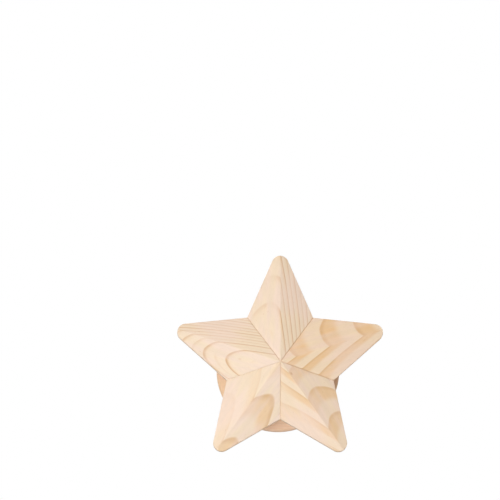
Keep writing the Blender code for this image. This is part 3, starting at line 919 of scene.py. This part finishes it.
def sand_seams(bm, front_faces):
    """The slopes beside the seams, on both sides of a ray's front"""
    for side in (-1, 1):
        inwards = Vector((-side * cos(SECTOR / 2), 0, sin(SECTOR / 2)))
        for i in range(SEAM_CUTS):
            cut = inwards * SEAM_SLOPE * (i + 1) / SEAM_CUTS
            geometry = [*front_faces, *{edge for face in front_faces for edge in face.edges}]
            geometry += list({corner for face in front_faces for corner in face.verts})
            found = bmesh.ops.bisect_plane(bm, geom=geometry, plane_co=cut, plane_no=inwards)
            front_faces = [item for item in found["geom"] if isinstance(item, bmesh.types.BMFace)]
    for corner in {corner for face in front_faces for corner in face.verts}:
        distance = corner.co.z * sin(SECTOR / 2) - abs(corner.co.x) * cos(SECTOR / 2)
        corner.co.y += SEAM_DROP * max(0, 1 - distance / SEAM_SLOPE) ** 2


def ray_mesh(turn):
    """A ray of the star, the top one turned about the axis"""
    bm = bmesh.new()
    outline = ray_outline()
    back = [bm.verts.new((across, STAR_EDGE, along)) for along, across in outline]
    front = [bm.verts.new((across, -facet_rise(along, across), along)) for along, across in outline]
    ridge_end = 2 + TIP_STEPS // 2  # the middle of the tip
    bm.faces.new(back)
    facets = [bm.faces.new(front[: ridge_end + 1]), bm.faces.new([front[0], *front[ridge_end:]])]
    weight = bm.edges.layers.float.new("bevel_weight_edge")
    for i, corner in enumerate(outline):
        following = (i + 1) % len(outline)
        bm.faces.new([back[i], back[following], front[following], front[i]])
        is_seam = i in (0, len(outline) - 1)
        bm.edges.get([front[i], front[following]])[weight] = EDGE_WEIGHTS["seam" if is_seam else "outline"]
        if not is_seam:
            bm.edges.get([back[i], back[following]])[weight] = EDGE_WEIGHTS["back"]
    bm.edges.get([front[0], front[ridge_end]])[weight] = EDGE_WEIGHTS["ridge"]
    sand_seams(bm, facets)
    return closed_mesh("ray", bm, Matrix.Translation(star_centre) @ turn)


# %% [markdown]
# The growth of each ray's board was found from the photograph: where its rings' lines cross the
# two facets says how far away the pith lay, on which side, and how wide the rings are. In the top
# and the upper left ray the pith was in front of the board, and in the others behind it. Those
# three have wide rings, whose wood is honey from the middle of a year to its end. Beside the
# seams of three rays the wood is painted darker: painted shade in the seams' creases.

# %% Cut, drill and finish the five rays
MID_YEAR = (0.40, 0.66)
RAYS = {
    "top": {
        "pith": (-62.8, 121.3), "lean": (0.07, 0.02), "width": 6.3, "first": 16.09,
        "strengths": (0, 0, 0, 1.0, 0.6, 0.9, 0.6, 0.9, 0.5, 0.8),
        "quiet": (-9, 1, 0.2), "honey": 0.45, "line": 0.5, "squeeze": 1.0,
    },
    "upper_right": {
        "pith": (30.2, -147.2), "lean": (-0.028, 0.019), "width": 10.2, "first": 14.19,
        "strengths": (0.6, 1.0, 1.0, 1.0, 0.7), "darkens": MID_YEAR,
        "honey": 0.64, "line": 0.25, "tint": (1, 0.965, 0.91), "squeeze": 0.7,
    },
    "lower_right": {
        "pith": (28.0, -113.8), "lean": (-0.110, -0.013), "width": 8.51, "first": 13.7,
        "strengths": (0.5, 1.0, 1.0, 1.0, 0.6), "darkens": MID_YEAR, "quiet": (24, 8, 0.45),
        "honey": 0.57, "line": 0.2, "tint": (0.98, 0.965, 0.945), "knot": (-3.0, 28.0, 0.65),
        "squeeze": 0.5,
    },
    "lower_left": {
        "pith": (4.1, -72.5), "lean": (0.033, -0.035), "width": 8.79, "first": 8.65,
        "strengths": (0.5, 0.9, 1.0, 0.5), "darkens": MID_YEAR, "quiet": (5, -3, 0.25),
        "honey": 0.55, "line": 0.3,
    },
    "upper_left": {
        "pith": (-29.7, 44.0), "lean": (-0.052, 0.085), "width": 4.965, "first": 4.845,
        "strengths": (0, 0, 0, 0, 1.0, 0.1, 0.9, 0.3, 0.6, 0.5, 0.9, 0.6, 0.8, 0.5, 0.9, 0.6),
        "honey": 0.35, "line": 0.5, "knot": (-17.0, 69.0, 0.25),
    },
}
rays = {}
for i, name in enumerate(RAY_NAMES):
    rays[name] = new_object("sanded_ray_" + name, ray_mesh(Matrix.Rotation(i * SECTOR, 4, "Y")))
    eased(rays[name], WHOLE_WEIGHT, RAY_EASE_STEPS, "WEIGHT")
bit = drill(rays.values(), holes_for("seam_dowel_", "star_screw_"))
settle(rays.values(), bit)
for i, (name, piece) in enumerate(rays.items()):
    material = pine_board("pine_ray_" + name, lie=(star_centre, (0, i * SECTOR, 0)), **RAYS[name])
    hand_over(piece, "star_ray_" + name, material)
    print("ray", name, len(piece.data.polygons), "faces")

# %% [markdown]
# ## The boards behind the star
#
# The wall disc and the hub are turned on the lathe from glued panels, and the tread is sawn from
# one. The two ribs are short boards on edge, with their fibres running out from the wall, so
# that they are as strong as they can be under a weight on the tread.

# %% Turn the disc and the hub
DISC_SIDES = 144
DISC_EASE = 5 * MM
HUB_EASE = 1.5 * MM
TURNED_EASE_STEPS = 8
BROKEN_EDGE = 0.4 * MM


def disc_profile(radius, thickness, ease):
    """A disc from height 0 to its thickness, its upper edge rounded and its lower one broken"""
    rim = arc((radius - ease, thickness - ease), ease, 0, pi / 2, TURNED_EASE_STEPS)
    lower = [(radius / 2, 0), (radius - BROKEN_EDGE, 0), (radius, BROKEN_EDGE)]
    return [*lower, *rim, (radius / 2, thickness)]


disc_low, disc_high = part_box("wall_disc")
hub_low, hub_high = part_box("hub")
disc_round = disc_profile(disc_high.x, disc_high.y - disc_low.y, DISC_EASE)
hub_round = disc_profile(hub_high.x, hub_high.y - hub_low.y, HUB_EASE)
boards = {
    "wall_disc": turned("wall_disc", disc_round, DISC_SIDES, pointing(OUT, at(0))),
    "hub": turned("hub", hub_round, DISC_SIDES, pointing(IN, at(-hub_low.y))),
}
boards = {name: new_object("sanded_" + name, mesh) for name, mesh in boards.items()}
print("disc", round(disc_high.x / MM, 1), "mm and hub", round(hub_high.x / MM, 1), "mm in radius")

# %% Saw the tread
TREAD_CORNER = 12 * MM
TREAD_EASE = 2.5 * MM
CORNER_STEPS = 12
EASE_STEPS = 5
low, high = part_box("tread")
outline = []
for quarter, (x, y) in enumerate(QUARTERS):
    centre_x = (high.x if x > 0 else low.x) - x * TREAD_CORNER
    centre_y = (high.y if y > 0 else low.y) - y * TREAD_CORNER
    start = quarter * pi / 2
    outline += arc((centre_x, centre_y), TREAD_CORNER, start, start + pi / 2, CORNER_STEPS)
mesh = sawn("tread", outline, high.z - low.z, Matrix.Translation((0, 0, low.z)))
boards["tread"] = new_object("sanded_tread", mesh)
eased(boards["tread"], TREAD_EASE, EASE_STEPS)
print("tread", [round(v / MM, 1) for v in high - low], "mm")

# %% Saw the ribs
RIB_FRONT_DROP = 30 * MM  # how far below the axis a rib reaches at the hub
RIB_FOOT = 14 * MM  # straight stretch under a rib, next to the wall
RIB_HOLLOW = 9 * MM  # how far the rest of its lower edge is curved in
RIB_EASE = 2 * MM
CURVE_STEPS = 32


def rib_outline(low, high):
    """A rib seen from its side, as (height, out) points"""
    rear, front = -high.y, -low.y
    start, end = Vector((low.z, rear + RIB_FOOT)), Vector((-RIB_FRONT_DROP, front))
    run = (end - start).normalized()
    inwards = Vector((run.y, -run.x))
    curve = []
    for i in range(CURVE_STEPS + 1):
        t = i / CURVE_STEPS
        bow = 4 * t * (1 - t)  # 1 in the middle and 0 at both ends
        curve.append(start.lerp(end, t) + inwards * RIB_HOLLOW * bow)
    return [(high.z, rear), (low.z, rear), *curve, (high.z, front)]


ribs = {}
for name in ("rib_left", "rib_right"):
    low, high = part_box(name)
    mesh = sawn(name, rib_outline(low, high), high.x - low.x, facing(UP, OUT, at(0, low.x)))
    ribs[name] = new_object("sanded_" + name, mesh)
    eased(ribs[name], RIB_EASE, EASE_STEPS)
    print(name, round((high.x - low.x) / MM, 1), "mm thick")
boards.update(ribs)

# %% [markdown]
# ## Keyhole plates
#
# The step hangs on two screws in the wall. A pressed steel plate is let into the disc's back over
# a pocket. The wall screw's head goes in through the round hole, and when the step drops, the
# slot catches its shank. The same outlines cut the plates, their recesses and the pockets.

# %% Press the plates
PLATE_LENGTH, PLATE_WIDTH, PLATE_THICKNESS = 46 * MM, 18 * MM, 2 * MM
PLATE_SINK = 0.4 * MM
PLATE_EASE, PLATE_EASE_STEPS = 0.3 * MM, 3
ENTRY, SLOT, RUN = 4.8 * MM, 2.5 * MM, 12 * MM  # radii of the hole and the slot, and their distance
POCKET_DEPTH, POCKET_ROOM = 10 * MM, 1.2 * MM
RECESS_ROOM = 0.2 * MM
BEHIND = 2 * MM  # how far behind the disc's back each cut begins
ARC_STEPS = 24


def stadium(length, width):
    """An upright outline with round ends"""
    radius, rise = width / 2, (length - width) / 2
    return arc((0, rise), radius, 0, pi, ARC_STEPS) + arc((0, -rise), radius, pi, 2 * pi, ARC_STEPS)


def keyhole():
    """A round entry below and the slot above it"""
    shoulder = atan2((ENTRY**2 - SLOT**2) ** 0.5, SLOT)
    entry = arc((0, -RUN / 2), ENTRY, pi - shoulder, 2 * pi + shoulder, 2 * ARC_STEPS)
    return entry + arc((0, RUN / 2), SLOT, 0, pi, ARC_STEPS)


recess = stadium(PLATE_LENGTH + 2 * RECESS_ROOM, PLATE_WIDTH + 2 * RECESS_ROOM)
pocket_width = 2 * (ENTRY + POCKET_ROOM)
cutters = {
    "keyhole": sawn("keyhole", keyhole(), 3 * BEHIND),
    "recess": sawn("recess", recess, BEHIND + PLATE_SINK + PLATE_THICKNESS + RECESS_ROOM),
    "pocket": sawn("pocket", stadium(RUN + pocket_width, pocket_width), BEHIND + POCKET_DEPTH),
}
plates, seats = {}, []
for name in ("keyhole_plate_left", "keyhole_plate_right"):
    low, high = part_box(name)
    middle = (low + high) / 2
    placing = facing(RIGHT, UP, at(PLATE_SINK, middle.x, middle.z))
    mesh = sawn(name, stadium(PLATE_LENGTH, PLATE_WIDTH), PLATE_THICKNESS, placing)
    plates[name] = new_object("pressed_" + name, mesh)
    eased(plates[name], PLATE_EASE, PLATE_EASE_STEPS)
    seats.append(facing(RIGHT, UP, at(-BEHIND, middle.x, middle.z)))
    print(name, "at", round(middle.x / MM, 1), "and", round(middle.z / MM, 1), "mm from the axis")

# %% Drill the boards and the plates
plate_holes = holes_for("plate_screw_")
carcass_holes = holes_for("carcass_screw_")
rib_dowel_holes = holes_for("rib_dowel_")
disc = [boards["wall_disc"]]
bits = [
    drill(plates.values(), [(cutters["keyhole"], seat) for seat in seats]),
    drill(plates.values(), plate_holes),
    drill(disc, [(cutters["recess"], seat) for seat in seats]),
    drill(disc, [(cutters["pocket"], seat) for seat in seats]),
    drill(disc, plate_holes + carcass_holes),
    drill([boards["hub"]], carcass_holes + holes_for("star_screw_")),
    drill([boards["tread"]], carcass_holes + rib_dowel_holes),
    drill(ribs.values(), carcass_holes + rib_dowel_holes),
]
settle([*boards.values(), *plates.values()], *bits)
print("drilled", ", ".join([*boards, *plates]))

# %% Finish the boards
MIDDLE = (0, 0, 0)
UPRIGHT = (MIDDLE, (0, 0, 0))
ALONG_X = (MIDDLE, (0, radians(90), 0))
ALONG_Y = (MIDDLE, (radians(-90), 0, 0))
FLAT = (MIDDLE, (radians(90), 0, radians(90)))  # along X too, but with the staves from front to back
WARM = (1.0, 0.86, 0.74)
BOARDS = {
    "wall_disc": ("disc_pine", {
        "lie": ALONG_X, "pith": (14, -70), "lean": (0.02, 0.03), "width": 4.2, "first": 0.5,
        "stave": (73, -65), "tint": WARM, "honey": 0.3, "line": 0.1,
    }),
    "hub": ("board_pine", {
        "lie": UPRIGHT, "pith": (6, -40), "lean": (0.03, 0.02), "width": 3.2, "stave": (44, 22),
    }),
    "tread": ("board_pine", {
        "lie": FLAT, "pith": (-75, 34), "lean": (0.03, 0.02), "width": 3.6, "first": 0.3,
        "stave": (42, -12),
    }),
    "rib_left": ("board_pine", {
        "lie": ALONG_Y, "pith": (-20, 55), "lean": (0.05, 0.02), "width": 3.0, "first": 0.6,
    }),
    "rib_right": ("board_pine", {
        "lie": ALONG_Y, "pith": (60, -35), "lean": (-0.04, 0.03), "width": 3.6, "first": 0.1,
    }),
}
for name, (slot, growth) in BOARDS.items():
    hand_over(boards[name], name, pine_board("pine_" + name, **growth))
print("boards:", ", ".join(BOARDS))

# %% [markdown]
# ## Beech and zinc
#
# Beech has no rings to speak of at this size, but short dark flecks, its rays. Zinc plating is
# dull and slightly cloudy, and it has worn to brighter steel along the edges of heads and plates.

# %% Mix the beech
FLECK_SCALE = (2600.0, 2600.0, 500.0)
FLECKS_KEPT = (0.56, 0.68)  # the part of the noise that makes flecks
FLECK_SHARE = 0.55
BEECH_PALE, BEECH_DARK = paint(216, 178, 138), paint(170, 118, 78)
BEECH_ROUGHNESS = 0.5
BEECH_VARIED = 0.2  # how much the fibres change brightness and roughness
BEECH_BUMP, BEECH_RELIEF = 0.4, 0.05 * MM
beech, tree, shader = new_material("fluted_beech")
here = node(tree, "ShaderNodeTexCoord").outputs["Object"]
fibre = place_group(tree, fibres, {"Board": here})["Fibre"]
fleck = ramp(tree, noise(tree, vectors(tree, "MULTIPLY", here, FLECK_SCALE)), *FLECKS_KEPT)
colour = blend(tree, maths(tree, "MULTIPLY", fleck, FLECK_SHARE), BEECH_PALE, BEECH_DARK)
look = {
    "Color": vectors(tree, "SCALE", colour, vary(tree, 1.0, fibre, BEECH_VARIED)),
    "Roughness": vary(tree, BEECH_ROUGHNESS, fibre, BEECH_VARIED),
    "Height": fibre,
}
dress(tree, shader, look, BEECH_BUMP, BEECH_RELIEF)

# %% Make the group for zinc plating
CLOUD_DETAIL = 4.0
CRYSTAL_SCALE = 3.0  # crystals in the width of a cloud
EDGE_WEAR, CLOUD_WEAR = 0.8, 0.8
WEAR_KEPT = (0.3, 0.7)  # where wear begins to show, and where the plating is gone
CLOUD_SHADE, CRYSTAL_SHADE = 0.5, 0.12  # how much each changes the brightness
ZINC_ROUGHNESS, CLOUD_ROUGHNESS, WORN_SMOOTHER = 0.38, 0.4, 0.12
CRYSTAL_HEIGHT = 0.3
zinc, given, result = new_group(
    "zinc_plating",
    {VECTOR: ["Position"], FLOAT: ("Cloud Size", "Edge"), COLOUR: ("Plating", "Steel")},
    {COLOUR: ["Color"], FLOAT: ("Roughness", "Height")},
)
finer = vectors(zinc, "SCALE", given["Position"], maths(zinc, "DIVIDE", 1.0, given["Cloud Size"]))
clouds = noise(zinc, finer, CLOUD_DETAIL)
crystals = node(zinc, "ShaderNodeTexVoronoi", {"Vector": finer, "Scale": CRYSTAL_SCALE})
crystals = crystals.outputs["Distance"]
wear = vary(zinc, maths(zinc, "MULTIPLY", given["Edge"], EDGE_WEAR), clouds, CLOUD_WEAR)
worn = ramp(zinc, wear, *WEAR_KEPT)
colour = blend(zinc, worn, given["Plating"], given["Steel"])
shade = vary(zinc, vary(zinc, 1.0, clouds, CLOUD_SHADE), crystals, CRYSTAL_SHADE)
zinc.links.new(vectors(zinc, "SCALE", colour, shade), result["Color"])
rough = vary(zinc, ZINC_ROUGHNESS, clouds, CLOUD_ROUGHNESS)
rough = maths(zinc, "SUBTRACT", rough, maths(zinc, "MULTIPLY", worn, WORN_SMOOTHER))
zinc.links.new(rough, result["Roughness"])
zinc.links.new(maths(zinc, "MULTIPLY_ADD", crystals, CRYSTAL_HEIGHT, clouds), result["Height"])
ZINC_BUMP, ZINC_RELIEF = 0.25, 0.03 * MM


def plated(name, cloud, reach, plating, steel):
    """A zinc finish"""
    material, tree, shader = new_material(name)
    fill(tree, shader, {"Metallic": 1.0})
    here = node(tree, "ShaderNodeTexCoord").outputs["Object"]
    edge = place_group(tree, edges, {"Reach": reach})["Edge"]
    values = {"Position": here, "Cloud Size": cloud, "Edge": edge, "Plating": plating, "Steel": steel}
    dress(tree, shader, place_group(tree, zinc, values), ZINC_BUMP, ZINC_RELIEF)
    return material


print("group", zinc.name, "has", len(zinc.nodes), "nodes")

# %% Hand over the fasteners and the plates
ZINC = {
    # name: size of the clouds, how far in from an edge it is worn, plating, bare steel
    "zinc_screw": (1.5 * MM, 0.25 * MM, paint(190, 186, 172), paint(222, 222, 218)),
    "zinc_plate": (4.0 * MM, 0.4 * MM, paint(188, 192, 194), paint(224, 226, 228)),
}
screw_finish, plate_finish = [plated(name, *values) for name, values in ZINC.items()]
DOWEL = ("fluted_", "dowel_beech", beech)
SCREW = ("threaded_", "screw_steel", screw_finish)
for name, (kind, placing) in fasteners.items():
    mesh = fastener_meshes[kind].copy()
    mesh.name = name
    made, slot, finish = DOWEL if kind == "dowel" else SCREW
    hand_over(new_object(made + name, mesh, placing), name, finish)
for name, piece in plates.items():
    hand_over(piece, name, plate_finish)
for spare in [*fastener_meshes.values(), *bores.values(), *cutters.values()]:
    bpy.data.meshes.remove(spare)
print(len(fasteners), "fasteners and", len(plates), "plates in place")

# %% Write the box sizes and finish
low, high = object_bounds()
print("visual box", [round(v / MM, 1) for v in high - low], "mm")
